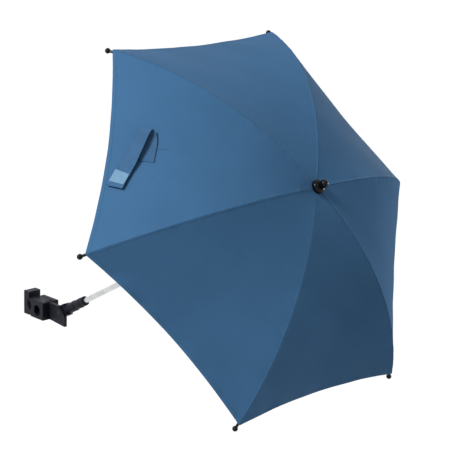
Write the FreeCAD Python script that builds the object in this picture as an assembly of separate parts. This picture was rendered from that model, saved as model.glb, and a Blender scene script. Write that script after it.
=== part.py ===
import FreeCAD, Part
import math
import os

from FreeCAD import Placement, Rotation, Vector

os.makedirs("parts", exist_ok=True)

# Pram parasol with a tube clamp. Lengths are in millimetres and angles in degrees.
# The frame starts on the axis of the pram tube held in the clamp: Y along that tube, Z up along the shaft.

# Canopy
TIP_RADIUS = 345.0
CANOPY_DROP = 144.7
BEND_START = 23.0
CLOTH = 0.8
CLOTH_GAP = 0.3
CLOTH_HOLE = 5.0
CLOTH_SAG = 6.5
HEM_BOW_SHARE = 0.0335
RIB_COUNT = 6
FIRST_RIB_ANGLE = 210.0
RIB_STEP_ANGLE = -60.0

# Ribs and their tips
RIB_WIDTH = 3.2
RIB_HEIGHT = 3.6
RIB_WALL = 0.5
RIB_SINK = 1.6
CHANNEL_START = 17.0
TAB_LENGTH = 8.0
EYE_RADIUS = 2.0
EYE_PLAY = 0.1
BALL_RADIUS = 4.4
BALL_REACH = 9.5
TIP_NECK_RADIUS = 2.2
TIP_SPIGOT_LENGTH = 10.0
RIVET_RADIUS = 0.8
RIVET_DEPTH = 2.2
RIVET_HEAD_RADIUS = 1.5
RIVET_HEAD = 0.6

# Stretchers
STRETCHER_JOINT_RADIUS = 150.0
STRETCHER_LENGTH = 162.0
STRETCHER_THICK = 1.8
STRETCHER_HEIGHT = 2.7

# Crown and finial
PIVOT_RADIUS = 10.5
PIVOT_DROP = 4.6
WIRE_RADIUS = 0.65
CROWN_RADIUS = 13.5
CROWN_TOP_DROP = 1.4
CROWN_HEIGHT = 7.0
CROWN_CORE_RADIUS = 7.4
CROWN_LENGTH = 24.0
SLOT_PLAY = 0.15
CROWN_PIN_RADIUS = 1.0
CROWN_PIN_DROP = 19.0
WASHER_RADIUS = 9.0
WASHER_THICK = 1.0
FINIAL_RADIUS = 11.0
FINIAL_DOME_HEIGHT = 8.0
FINIAL_RIM = 1.6
FINIAL_NECK_RADIUS = 6.4
NUB_RADIUS = 6.4
NUB_HEIGHT = 16.0
FINIAL_STEM_RADIUS = 3.0
FINIAL_STEM_LENGTH = 12.0

# Shaft and runner
SHAFT_LENGTH = 633.0
TUBE_RADIUS = 5.0
TUBE_WALL = 0.8
TUBE_TOP_DROP = 12.5
TUBE_SEAT = 44.0
RUNNING_PLAY = 0.05
RUNNER_PIVOT_RADIUS = 12.0
RUNNER_RING_RADIUS = 15.5
RUNNER_RING_HEIGHT = 8.0
RUNNER_SLOT_FLOOR = 9.6
RUNNER_RADIUS = 7.8
RUNNER_LENGTH = 40.0
RUNNER_LIP_RADIUS = 9.4
RUNNER_LIP = 4.0
CATCH_WIDTH = 2.4
CATCH_PLAY = 0.1
CATCH_NOSE_RADIUS = 6.9
CATCH_NOSE_HEIGHT = 7.0
CATCH_HEIGHT = 14.0
CATCH_TRAVEL = 2.0
CATCH_BACK = 0.6
CATCH_DROP = 1.0

# Pram tube clamp
CLAMP_ANGLE = 30.0
TUBE_SEAT_RADIUS = 8.0
PAD = 2.0
PAD_ANGLE = 110.0
PAD_LENGTH = 25.0
BODY_FRONT = 3.5
BODY_WIDTH = 36.0
BODY_TOP = 13.5
BODY_FLOOR = 3.5
BODY_END = 9.0
BODY_ROUND = 8.0
EDGE_ROUND = 1.6
WINDOW_WIDTH = 17.0
WINDOW_DEPTH = 12.0
WINDOW_TOP = 5.5
WINDOW_BOTTOM = 15.5
WINDOW_WALL = 8.0
NUT_RADIUS = 9.5
NUT_THICK = 7.0
NUT_PLAY = 0.3
NUT_FLUTE_RADIUS = 1.1
NUT_FLUTES = 16
SPINDLE_RADIUS = 2.5
SPINDLE_PLAY = 0.2
SPINDLE_GAP = 1.5
SPINDLE_COVER = 3.0
SPINDLE_ROOM = 2.5
BORE_WALL = 1.0
JAW_WALL = 11.0
JAW_WIDTH = 26.0
JAW_TOP = 22.5
JAW_FLOOR = 5.0
JAW_ROUND = 3.5
TONGUE_WIDTH = 16.0
TONGUE_GAP = 0.4
TONGUE_THICK = 2.6
TONGUE_PLAY = 0.15
TONGUE_ROOM = 4.0
CHANNEL_WALL = 3.0

# Tilt joint
ARM_REACH = 26.0
ARM_THICK = 6.0
ARM_ROOT = 2.0
ARM_SHOULDER = 0.5
ARM_NOSE = 18.0
ARM_NOSE_TOP = 5.0
ARM_NOSE_BOTTOM = 23.5
ARM_FOOT = 4.0
ARM_CLEARANCE = 0.9
BOLT_RADIUS = 2.5
BOLT_HEAD_RADIUS = 4.5
BOLT_HEAD = 2.2
BOLT_OVERRUN = 1.0
NUT_ACROSS_CORNERS = 9.2
NUT_HEIGHT = 4.0
FRICTION_WASHER_RADIUS = 6.5
FRICTION_WASHER = 0.5
KNUCKLE_RADIUS = 11.0
KNUCKLE_THICK = 14.0
FERRULE_RADIUS = 9.6
FERRULE_MOUTH_RADIUS = 8.0
FERRULE_START = 14.0
FERRULE_LENGTH = 66.0
FERRULE_STEP_RISE = 0.6
FERRULE_STEP = 5.0
FERRULE_STEP_PITCH = 18.0
FERRULE_PIN_RADIUS = 1.5
FERRULE_PIN_DROP = 27.0

# Closing strap
STRAP_RUN_SHARE = 0.825
STRAP_CROSS_SHARE = 0.6
STRAP_WIDTH = 20.0
STRAP_THICK = 1.0
STRAP_FOLD_RADIUS = 3.0
STRAP_REAR_LENGTH = 48.0
STRAP_TAIL_LENGTH = 108.0
STRAP_LIFT = 2.6
STRAP_FOOT_LENGTH = 15.0
STRAP_FOOT_DEPTH = 0.5
STRAP_SPLAY_ANGLE = 24.0
STRAP_DIP_ANGLE = 1.5
TAB_PATCH_LENGTH = 17.0
TAB_PATCH_INSET = 12.0
TAB_PATCH_THICK = 0.6
TAB_PATCH_MARGIN = 1.5

# Values that follow from the sizes above
BEND_RUN = TIP_RADIUS - BEND_START
BEND_ANGLE = 2 * math.degrees(math.atan2(CANOPY_DROP, BEND_RUN))
BEND_RADIUS = BEND_RUN / math.sin(math.radians(BEND_ANGLE))
TAB_THICK = RIB_WIDTH - 2 * RIB_WALL
SEAT_RADIUS = TUBE_SEAT_RADIUS + PAD
SPINDLE_DROP = SEAT_RADIUS + SPINDLE_GAP + SPINDLE_RADIUS
BODY_BOTTOM = SPINDLE_DROP + SPINDLE_RADIUS + BODY_FLOOR
NUT_CENTRE = SEAT_RADIUS + WINDOW_WALL + WINDOW_WIDTH / 2
BODY_BACK = NUT_CENTRE + WINDOW_WIDTH / 2 + BODY_END
BORE_END = BODY_BACK - BORE_WALL
SPINDLE_END = BORE_END - SPINDLE_ROOM
JAW_BACK = SEAT_RADIUS + JAW_WALL
JAW_BOTTOM = SPINDLE_DROP + SPINDLE_RADIUS + JAW_FLOOR
SPINDLE_START = JAW_BACK - SPINDLE_COVER
TONGUE_BOTTOM = SEAT_RADIUS + TONGUE_GAP
CHANNEL_END = BODY_BACK - CHANNEL_WALL
TONGUE_END = CHANNEL_END - TONGUE_ROOM
TILT_REACH = BODY_BACK + ARM_REACH
TILT_SIDE = ARM_THICK / 2 + ARM_CLEARANCE + FERRULE_RADIUS
KNUCKLE_SIDE = ARM_THICK / 2 + FRICTION_WASHER + RUNNING_PLAY
NUT_SIDE = KNUCKLE_SIDE + KNUCKLE_THICK + RUNNING_PLAY + FRICTION_WASHER
TILT_RADIANS = math.radians(CLAMP_ANGLE)
PIVOT_POINT = Vector(TILT_REACH * math.sin(TILT_RADIANS), TILT_SIDE, TILT_REACH * math.cos(TILT_RADIANS))
MOUTH_HEIGHT = PIVOT_POINT.z + FERRULE_LENGTH
APEX = Vector(PIVOT_POINT.x, PIVOT_POINT.y, MOUTH_HEIGHT + SHAFT_LENGTH)
JOINT_ANGLE = math.asin((STRETCHER_JOINT_RADIUS - BEND_START) / BEND_RADIUS)
JOINT_ARC_RADIUS = BEND_RADIUS - RIB_SINK - RIVET_DEPTH
JOINT_X = BEND_START + JOINT_ARC_RADIUS * math.sin(JOINT_ANGLE)
JOINT_Z = JOINT_ARC_RADIUS * math.cos(JOINT_ANGLE) - BEND_RADIUS
RUNNER_Z = JOINT_Z - math.sqrt(STRETCHER_LENGTH ** 2 - (JOINT_X - RUNNER_PIVOT_RADIUS) ** 2)
ORIGIN = Vector(0, 0, 0)
ALONG_X = Vector(1, 0, 0)
ALONG_Y = Vector(0, 1, 0)
ALONG_Z = Vector(0, 0, 1)


def save(name, shape):
    shape.exportStep("parts/" + name + ".step")


def block(x_from, x_to, y_from, y_to, z_from, z_to):
    """A box between two corners."""
    return Part.makeBox(x_to - x_from, y_to - y_from, z_to - z_from, Vector(x_from, y_from, z_from))


def turned(points, start=ORIGIN):
    """A solid of revolution about Z from (radius, height) points."""
    outline = [start + Vector(r, 0, h) for r, h in points]
    face = Part.Face(Part.makePolygon(outline + outline[:1]))
    return face.revolve(start, ALONG_Z, 360)


def moved(shape, placement):
    copy = shape.copy()
    copy.Placement = placement.multiply(copy.Placement)
    return copy


def at_rib(index):
    """The placement from the first rib's own plane to rib number index, from 0."""
    turn = Rotation(ALONG_Z, FIRST_RIB_ANGLE + index * RIB_STEP_ANGLE)
    return Placement(APEX, turn)


def on_shaft(shape):
    return moved(shape, Placement(APEX, Rotation()))


def in_clamp(shape):
    """From the clamp's own axes, X along its length and Z up through its top, to the shared frame."""
    lean = Rotation(ALONG_Y, CLAMP_ANGLE - 90)
    return moved(shape, Placement(ORIGIN, lean))


# Canopy surface: straight lines from rib to rib with a small sag between them
def rib_drop(radius):
    """Depth of a rib's line below the apex at a distance from the shaft."""
    run = max(radius - BEND_START, 0)
    return BEND_RADIUS - math.sqrt(BEND_RADIUS ** 2 - run ** 2)


def cloth_point(radius, cross, side):
    """A point of the cloth between this rib, cross 0, and the next one on the given side, cross 1."""
    step = math.radians(side * RIB_STEP_ANGLE)
    near = Vector(radius, 0, 0)
    far = Vector(radius * math.cos(step), radius * math.sin(step), 0)
    level = near * (1 - cross) + far * cross
    bow = 4 * cross * (1 - cross)
    return level - ALONG_Z * (rib_drop(radius) + CLOTH_SAG * bow * radius / TIP_RADIUS)


def cloth_half(side):
    """Half of one panel, from its rib to the middle line of the gore, as a closed solid."""
    rows = []
    run_steps = 12
    cross_steps = 4
    for i in range(run_steps + 1):
        row = []
        for j in range(cross_steps + 1):
            cross = j / (2 * cross_steps)
            bow = 4 * cross * (1 - cross)
            end = TIP_RADIUS * (1 - HEM_BOW_SHARE * bow)
            radius = CLOTH_HOLE + (end - CLOTH_HOLE) * i / run_steps
            row.append(cloth_point(radius, cross, side))
        rows.append(row)
    surface = Part.BSplineSurface()
    surface.interpolate(rows)
    return surface.toShape().extrude(-ALONG_Z * CLOTH)


def cloth_panel():
    """The cloth carried by one rib, out to the middle line of the gore on each side."""
    panel = cloth_half(1).fuse(cloth_half(-1))
    half_step = abs(RIB_STEP_ANGLE) / 2
    for side in (1, -1):
        strip = block(0, 2 * TIP_RADIUS, -CLOTH_GAP / 2, CLOTH_GAP / 2, -2 * CANOPY_DROP, CANOPY_DROP)
        strip.rotate(ORIGIN, ALONG_Z, side * half_step)
        panel = panel.cut(strip)
    wanted = max(panel.Solids, key=lambda solid: solid.Volume)
    return wanted


# Ribs
def channel_face():
    """The open-bottomed channel section of a rib, where its bend begins."""
    top = -RIB_SINK
    bottom = top - RIB_HEIGHT
    half = RIB_WIDTH / 2
    inner = half - RIB_WALL
    under = top - RIB_WALL
    outline = [(-half, bottom), (-half, top), (half, top), (half, bottom)]
    outline += [(inner, bottom), (inner, under), (-inner, under), (-inner, bottom)]
    points = [Vector(BEND_START, y, z) for y, z in outline]
    return Part.Face(Part.makePolygon(points + points[:1]))


def on_arc(depth, angle):
    """A point at a depth below the rib's line, an angle in radians along its bend."""
    radius = BEND_RADIUS - depth
    return Vector(BEND_START + radius * math.sin(angle), 0, radius * math.cos(angle) - BEND_RADIUS)


def rib():
    section = channel_face()
    centre = Vector(BEND_START, 0, -BEND_RADIUS)
    shape = section.revolve(centre, ALONG_Y, BEND_ANGLE)
    shape = shape.fuse(section.extrude(ALONG_X * (CHANNEL_START - BEND_START)))
    eye_centre = Vector(PIVOT_RADIUS, -TAB_THICK / 2, -PIVOT_DROP)
    eye = Part.makeCylinder(EYE_RADIUS, TAB_THICK, eye_centre, ALONG_Y)
    end = CHANNEL_START + TAB_LENGTH
    eye_top = EYE_RADIUS - PIVOT_DROP
    bar = block(PIVOT_RADIUS, end, -TAB_THICK / 2, TAB_THICK / 2, eye_top - RIB_HEIGHT / 2, eye_top)
    hole = Part.makeCylinder(WIRE_RADIUS + EYE_PLAY, TAB_THICK, eye_centre, ALONG_Y)
    shape = shape.fuse([eye, bar]).cut(hole)
    bore_start = on_arc(RIB_SINK + RIVET_DEPTH, JOINT_ANGLE) - ALONG_Y * RIB_WIDTH
    shape = shape.cut(Part.makeCylinder(RIVET_RADIUS, 2 * RIB_WIDTH, bore_start, ALONG_Y))
    return shape.removeSplitter()


def rib_rivet():
    middle = on_arc(RIB_SINK + RIVET_DEPTH, JOINT_ANGLE)
    half = RIB_WIDTH / 2
    shank = Part.makeCylinder(RIVET_RADIUS, RIB_WIDTH, middle - ALONG_Y * half, ALONG_Y)
    near = Part.makeCylinder(RIVET_HEAD_RADIUS, RIVET_HEAD, middle + ALONG_Y * half, ALONG_Y)
    far = Part.makeCylinder(RIVET_HEAD_RADIUS, RIVET_HEAD, middle - ALONG_Y * half, -ALONG_Y)
    return shank.fuse([near, far])


def rib_tip():
    """The ball on the end of a rib, with a neck against the channel and a spigot inside it."""
    depth = RIB_SINK + RIB_HEIGHT / 2
    end = on_arc(depth, math.radians(BEND_ANGLE))
    outward = Vector(math.cos(math.radians(BEND_ANGLE)), 0, -math.sin(math.radians(BEND_ANGLE)))
    ball = Part.makeSphere(BALL_RADIUS, end + outward * BALL_REACH)
    neck = Part.makeCylinder(TIP_NECK_RADIUS, BALL_REACH, end, outward)
    inner = RIB_WIDTH / 2 - RIB_WALL
    spigot = Part.makeCylinder(inner, TIP_SPIGOT_LENGTH, end - outward * TIP_SPIGOT_LENGTH, outward)
    return ball.fuse([neck, spigot]).removeSplitter()


def stretcher():
    """A flat bar from the rivet in the rib to the runner's ring."""
    outer = Vector(JOINT_X, 0, JOINT_Z)
    inner = Vector(RUNNER_PIVOT_RADIUS, 0, RUNNER_Z)
    half = STRETCHER_THICK / 2
    along = inner - outer
    bar = block(0, STRETCHER_LENGTH, -half, half, -STRETCHER_HEIGHT / 2, STRETCHER_HEIGHT / 2)
    turn = Rotation(ALONG_X, along)
    bar = moved(bar, Placement(outer, turn))
    ends = []
    for point in (outer, inner):
        ends.append(Part.makeCylinder(STRETCHER_HEIGHT / 2, STRETCHER_THICK, point - ALONG_Y * half, ALONG_Y))
    shape = bar.fuse(ends).removeSplitter()
    bore = Part.makeCylinder(RIVET_RADIUS + RUNNING_PLAY, STRETCHER_THICK, outer - ALONG_Y * half, ALONG_Y)
    return shape.cut(bore)


# Crown, finial and washer
def radial_slots(width, floor, reach, z_from, z_to):
    """One slot for each rib, from a floor radius outward."""
    slots = []
    for i in range(RIB_COUNT):
        slot = block(floor, reach, -width / 2, width / 2, z_from, z_to)
        slot.rotate(ORIGIN, ALONG_Z, FIRST_RIB_ANGLE + i * RIB_STEP_ANGLE)
        slots.append(slot)
    return slots


def crown_wire():
    return Part.makeTorus(PIVOT_RADIUS, WIRE_RADIUS, Vector(0, 0, -PIVOT_DROP), ALONG_Z)


def crown_pin():
    reach = CROWN_CORE_RADIUS
    return Part.makeCylinder(CROWN_PIN_RADIUS, 2 * reach, Vector(-reach, 0, -CROWN_PIN_DROP), ALONG_X)


def crown():
    top = -CROWN_TOP_DROP
    ring_bottom = top - CROWN_HEIGHT
    ring = Part.makeCylinder(CROWN_RADIUS, CROWN_HEIGHT, Vector(0, 0, ring_bottom), ALONG_Z)
    core = Part.makeCylinder(CROWN_CORE_RADIUS, CROWN_LENGTH, Vector(0, 0, top - CROWN_LENGTH), ALONG_Z)
    width = TAB_THICK + 2 * SLOT_PLAY
    ring = ring.cut(radial_slots(width, CROWN_CORE_RADIUS, 2 * CROWN_RADIUS, ring_bottom, top))
    bore_bottom = top - CROWN_LENGTH
    bore = Part.makeCylinder(TUBE_RADIUS, -TUBE_TOP_DROP - bore_bottom, Vector(0, 0, bore_bottom), ALONG_Z)
    stem = Part.makeCylinder(FINIAL_STEM_RADIUS, CROWN_LENGTH, Vector(0, 0, bore_bottom), ALONG_Z)
    shape = core.fuse(ring).cut([bore, stem, crown_wire(), crown_pin()])
    return shape.removeSplitter()


def top_washer():
    low = CLOTH_GAP
    high = low + WASHER_THICK
    hole = FINIAL_STEM_RADIUS
    return turned([(hole, low), (WASHER_RADIUS, low), (WASHER_RADIUS, high), (hole, high)])


def finial():
    """A domed cap with a round nub, and a stem down through the canopy into the crown."""
    base = CLOTH_GAP + WASHER_THICK
    rim_top = base + FINIAL_RIM
    dome_top = base + FINIAL_DOME_HEIGHT
    rise = FINIAL_DOME_HEIGHT - FINIAL_RIM
    spread = FINIAL_RADIUS - FINIAL_NECK_RADIUS
    stem = Part.makeCylinder(
        FINIAL_STEM_RADIUS, base + FINIAL_STEM_LENGTH, Vector(0, 0, -FINIAL_STEM_LENGTH), ALONG_Z)
    half_turn = math.radians(45)
    middle = Vector(
        FINIAL_NECK_RADIUS + spread * math.sin(half_turn), 0, rim_top + rise * math.cos(half_turn))
    rim_foot = Vector(FINIAL_RADIUS, 0, base)
    rim_edge = Vector(FINIAL_RADIUS, 0, rim_top)
    neck_foot = Vector(FINIAL_NECK_RADIUS, 0, dome_top)
    neck_end = Vector(FINIAL_NECK_RADIUS, 0, base + NUB_HEIGHT)
    axis_foot = Vector(0, 0, base)
    axis_end = Vector(0, 0, base + NUB_HEIGHT)
    edges = [
        Part.makeLine(axis_foot, rim_foot),
        Part.makeLine(rim_foot, rim_edge),
        Part.Arc(rim_edge, middle, neck_foot).toShape(),
        Part.makeLine(neck_foot, neck_end),
        Part.makeLine(neck_end, axis_end),
        Part.makeLine(axis_end, axis_foot),
    ]
    cap = Part.Face(Part.Wire(edges)).revolve(ORIGIN, ALONG_Z, 360)
    nub = Part.makeSphere(NUB_RADIUS, Vector(0, 0, base + NUB_HEIGHT))
    return cap.fuse([nub, stem]).removeSplitter()


# Shaft and runner
def catch_height():
    """Height of the catch's middle, just under the runner, below the apex."""
    foot = RUNNER_Z + RUNNER_RING_HEIGHT / 2 - RUNNER_LENGTH
    return foot - CATCH_DROP - CATCH_NOSE_HEIGHT / 2


def shaft_tube():
    bottom = -SHAFT_LENGTH - TUBE_SEAT
    length = -TUBE_TOP_DROP - bottom
    outer = Part.makeCylinder(TUBE_RADIUS, length, Vector(0, 0, bottom), ALONG_Z)
    inner = Part.makeCylinder(TUBE_RADIUS - TUBE_WALL, length, Vector(0, 0, bottom), ALONG_Z)
    half = CATCH_WIDTH / 2 + CATCH_PLAY
    middle = catch_height()
    tall = CATCH_NOSE_HEIGHT / 2 + CATCH_PLAY
    slot = block(0, 2 * TUBE_RADIUS, -half, half, middle - tall, middle + tall)
    return outer.cut([inner, slot, crown_pin(), ferrule_pin()])


def runner_catch():
    """A sprung catch in the tube, with a sloped nose that stands out through a slot."""
    middle = catch_height()
    half = CATCH_WIDTH / 2
    inner = TUBE_RADIUS - TUBE_WALL - CATCH_PLAY
    side = math.sqrt(inner ** 2 - half ** 2)
    plate = block(-CATCH_BACK, side, -half, half, middle - CATCH_HEIGHT / 2, middle + CATCH_HEIGHT / 2)
    low = middle - CATCH_NOSE_HEIGHT / 2
    high = middle + CATCH_NOSE_HEIGHT / 2
    outline = [Vector(0, -half, low), Vector(TUBE_RADIUS, -half, low)]
    outline += [Vector(CATCH_NOSE_RADIUS, -half, high), Vector(0, -half, high)]
    nose = Part.Face(Part.makePolygon(outline + outline[:1])).extrude(ALONG_Y * CATCH_WIDTH)
    return plate.fuse(nose).removeSplitter()


def runner():
    top = RUNNER_Z + RUNNER_RING_HEIGHT / 2
    foot = top - RUNNER_LENGTH
    ring_foot = top - RUNNER_RING_HEIGHT
    bore = TUBE_RADIUS + RUNNING_PLAY
    shape = turned([
        (bore, top), (RUNNER_RING_RADIUS, top), (RUNNER_RING_RADIUS, ring_foot),
        (RUNNER_RADIUS, ring_foot), (RUNNER_RADIUS, foot + 2 * RUNNER_LIP),
        (RUNNER_LIP_RADIUS, foot + RUNNER_LIP), (RUNNER_LIP_RADIUS, foot), (bore, foot)])
    width = STRETCHER_THICK + 4 * SLOT_PLAY
    shape = shape.cut(radial_slots(width, RUNNER_SLOT_FLOOR, 2 * RUNNER_RING_RADIUS, ring_foot, top))
    half = CATCH_WIDTH / 2 + 2 * CATCH_PLAY
    groove = block(0, CATCH_NOSE_RADIUS + 2 * CATCH_PLAY, -half, half, foot, top)
    return shape.cut(groove)


# Ferrule with the knuckle of the tilt joint
def ferrule_radius(height):
    """Radius of the tapered sleeve at a height measured from the apex."""
    mouth = -SHAFT_LENGTH
    start = mouth - FERRULE_LENGTH + FERRULE_START
    share = (height - start) / (mouth - start)
    return FERRULE_RADIUS + (FERRULE_MOUTH_RADIUS - FERRULE_RADIUS) * share


def ferrule_ring(low):
    """Outline points of a raised ring on the sleeve, from its low edge upward."""
    high = low + FERRULE_STEP
    near = ferrule_radius(low)
    far = ferrule_radius(high)
    return [(near, low), (near + FERRULE_STEP_RISE, low), (far + FERRULE_STEP_RISE, high), (far, high)]


def cross_bar(reach):
    """A bar across the ferrule, as far as reach on each side."""
    drop = SHAFT_LENGTH + FERRULE_PIN_DROP
    return Part.makeCylinder(FERRULE_PIN_RADIUS, 2 * reach, Vector(0, -reach, -drop), ALONG_Y)


def ferrule_pin():
    return cross_bar(FERRULE_MOUTH_RADIUS)


def ferrule():
    mouth = -SHAFT_LENGTH
    centre = mouth - FERRULE_LENGTH
    start = centre + FERRULE_START
    outline = [(0, start), (FERRULE_RADIUS, start)]
    for low in (start + FERRULE_STEP_PITCH, start + 2 * FERRULE_STEP_PITCH, mouth - FERRULE_STEP):
        outline += ferrule_ring(low)
    sleeve = turned(outline + [(0, mouth)])
    side = KNUCKLE_SIDE - TILT_SIDE
    knuckle = Vector(0, side, centre)
    round_end = Part.makeCylinder(KNUCKLE_RADIUS, KNUCKLE_THICK, knuckle, ALONG_Y)
    web = block(-KNUCKLE_RADIUS, KNUCKLE_RADIUS, side, side + KNUCKLE_THICK, centre, start)
    bolt = Part.makeCylinder(BOLT_RADIUS + RUNNING_PLAY, KNUCKLE_THICK, knuckle, ALONG_Y)
    bore = Part.makeCylinder(TUBE_RADIUS, TUBE_SEAT, Vector(0, 0, mouth - TUBE_SEAT), ALONG_Z)
    return sleeve.fuse([round_end, web]).cut([bolt, bore, cross_bar(FERRULE_RADIUS)]).removeSplitter()


# Clamp, drawn along its own axes
def across(radius, width, x, z):
    """A cylinder along Y, centred on the clamp's middle plane."""
    return Part.makeCylinder(radius, width, Vector(x, -width / 2, z), ALONG_Y)


def clamp_arm():
    """The plate behind the body that carries the tilt bolt, with a sloping upper edge and a blunt nose."""
    side = -ARM_THICK / 2
    root = BODY_BACK - ARM_ROOT
    top = BODY_TOP - EDGE_ROUND
    nose = TILT_REACH + ARM_NOSE
    outline = [(root, top), (TILT_REACH - ARM_SHOULDER, top), (nose, -ARM_NOSE_TOP), (nose, -ARM_NOSE_BOTTOM)]
    outline += [(BODY_BACK + ARM_FOOT, -BODY_BOTTOM), (root, -BODY_BOTTOM)]
    points = [Vector(x, side, z) for x, z in outline]
    return Part.Face(Part.makePolygon(points + points[:1])).extrude(ALONG_Y * ARM_THICK)


def clamp_body():
    half = BODY_WIDTH / 2
    shape = block(BODY_FRONT, BODY_BACK, -half, half, -BODY_BOTTOM, BODY_TOP)
    front_edges = []
    for edge in shape.Edges:
        box = edge.BoundBox
        if box.ZMax < 0 and box.XMax < BODY_BACK / 2:
            front_edges.append(edge)
    shape = shape.makeFillet(BODY_ROUND, front_edges)
    top_edges = []
    for edge in shape.Edges:
        box = edge.BoundBox
        if box.ZMin > BODY_TOP / 2 and box.XMax > BODY_BACK / 2:
            top_edges.append(edge)
    shape = shape.makeFillet(EDGE_ROUND, top_edges).fuse(clamp_arm())
    seat = across(SEAT_RADIUS, 2 * BODY_WIDTH, 0, 0)
    channel_half = TONGUE_WIDTH / 2 + TONGUE_PLAY
    channel = block(0, CHANNEL_END, -channel_half, channel_half, TONGUE_BOTTOM - TONGUE_PLAY, 2 * BODY_TOP)
    spindle = Part.makeCylinder(SPINDLE_RADIUS + SPINDLE_PLAY, BORE_END, Vector(0, 0, -SPINDLE_DROP), ALONG_X)
    nut_half = NUT_THICK / 2 + NUT_PLAY
    nut_room = NUT_RADIUS + NUT_PLAY
    nut_top = nut_room - SPINDLE_DROP
    pocket = block(NUT_CENTRE - nut_half, NUT_CENTRE + nut_half, -nut_room, nut_room, -2 * BODY_BOTTOM, nut_top)
    cuts = [seat, channel, spindle, pocket]
    arch_radius = WINDOW_WIDTH / 2
    arch_top = WINDOW_TOP - arch_radius
    arch_bottom = arch_radius - WINDOW_BOTTOM
    for low in (-half, half - WINDOW_DEPTH):
        x_from = NUT_CENTRE - arch_radius
        x_to = NUT_CENTRE + arch_radius
        cuts.append(block(x_from, x_to, low, low + WINDOW_DEPTH, arch_bottom, arch_top))
        for height in (arch_bottom, arch_top):
            cuts.append(Part.makeCylinder(arch_radius, WINDOW_DEPTH, Vector(NUT_CENTRE, low, height), ALONG_Y))
    cuts.append(across(BOLT_RADIUS, 2 * BODY_WIDTH, TILT_REACH, 0))
    head_start = Vector(TILT_REACH, -ARM_THICK / 2, 0)
    cuts.append(Part.makeCylinder(BOLT_HEAD_RADIUS, BOLT_HEAD, head_start, ALONG_Y))
    return shape.cut(cuts).removeSplitter()


def pad(side):
    """A rubber lining round part of the pram tube, on the jaw's or the body's side."""
    half = PAD_LENGTH / 2
    inner = TUBE_SEAT_RADIUS
    outer = SEAT_RADIUS
    outline = [(inner, -half), (outer, -half), (outer, half), (inner, half)]
    points = [Vector(x, y, 0) for x, y in outline]
    face = Part.Face(Part.makePolygon(points + points[:1]))
    lining = face.revolve(ORIGIN, ALONG_Y, PAD_ANGLE)
    middle = 0
    if side < 0:
        middle = 180
    lining.rotate(ORIGIN, ALONG_Y, middle - PAD_ANGLE / 2)
    return lining


def clamp_jaw():
    """A thick plate on the far side of the tube, with a guide tongue over it and a seat for the spindle."""
    half = JAW_WIDTH / 2
    plate = block(-JAW_BACK, -BODY_FRONT, -half, half, -JAW_BOTTOM, JAW_TOP)
    outer_edges = [edge for edge in plate.Edges if edge.BoundBox.XMax < -SEAT_RADIUS]
    plate = plate.makeFillet(JAW_ROUND, outer_edges)
    tongue_half = TONGUE_WIDTH / 2
    tongue_top = TONGUE_BOTTOM + TONGUE_THICK
    tongue = block(-SEAT_RADIUS, TONGUE_END, -tongue_half, tongue_half, TONGUE_BOTTOM, tongue_top)
    hole = Part.makeCylinder(SPINDLE_RADIUS, 2 * JAW_BACK, Vector(-SPINDLE_START, 0, -SPINDLE_DROP), ALONG_X)
    return plate.fuse(tongue).cut([across(SEAT_RADIUS, 2 * JAW_WIDTH, 0, 0), hole]).removeSplitter()


def jaw_spindle():
    length = SPINDLE_END + SPINDLE_START
    return Part.makeCylinder(SPINDLE_RADIUS, length, Vector(-SPINDLE_START, 0, -SPINDLE_DROP), ALONG_X)


def thumb_nut():
    start = Vector(NUT_CENTRE - NUT_THICK / 2, 0, -SPINDLE_DROP)
    shape = Part.makeCylinder(NUT_RADIUS, NUT_THICK, start, ALONG_X)
    cuts = [Part.makeCylinder(SPINDLE_RADIUS + RUNNING_PLAY, NUT_THICK, start, ALONG_X)]
    for i in range(NUT_FLUTES):
        turn = 2 * math.pi * i / NUT_FLUTES
        rim = start + Vector(0, NUT_RADIUS * math.cos(turn), NUT_RADIUS * math.sin(turn))
        cuts.append(Part.makeCylinder(NUT_FLUTE_RADIUS, NUT_THICK, rim, ALONG_X))
    return shape.cut(cuts)


def tilt_bolt():
    start = Vector(TILT_REACH, -ARM_THICK / 2, 0)
    length = ARM_THICK / 2 + NUT_SIDE + NUT_HEIGHT + BOLT_OVERRUN
    shank = Part.makeCylinder(BOLT_RADIUS, length, start, ALONG_Y)
    head = Part.makeCylinder(BOLT_HEAD_RADIUS, BOLT_HEAD, start, ALONG_Y)
    return shank.fuse(head).removeSplitter()


def tilt_nut():
    corners = []
    for i in range(6):
        turn = math.pi * i / 3
        radius = NUT_ACROSS_CORNERS / 2
        corners.append(Vector(TILT_REACH + radius * math.cos(turn), NUT_SIDE, radius * math.sin(turn)))
    nut = Part.Face(Part.makePolygon(corners + corners[:1])).extrude(ALONG_Y * NUT_HEIGHT)
    return nut.cut(Part.makeCylinder(BOLT_RADIUS, NUT_HEIGHT, Vector(TILT_REACH, NUT_SIDE, 0), ALONG_Y))


def friction_washers():
    """One between the arm and the knuckle, one between the knuckle and the nut."""
    rings = []
    for low in (ARM_THICK / 2, NUT_SIDE - FRICTION_WASHER):
        start = Vector(TILT_REACH, low, 0)
        ring = Part.makeCylinder(FRICTION_WASHER_RADIUS, FRICTION_WASHER, start, ALONG_Y)
        rings.append(ring.cut(Part.makeCylinder(BOLT_RADIUS, FRICTION_WASHER, start, ALONG_Y)))
    return Part.makeCompound(rings)


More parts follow.
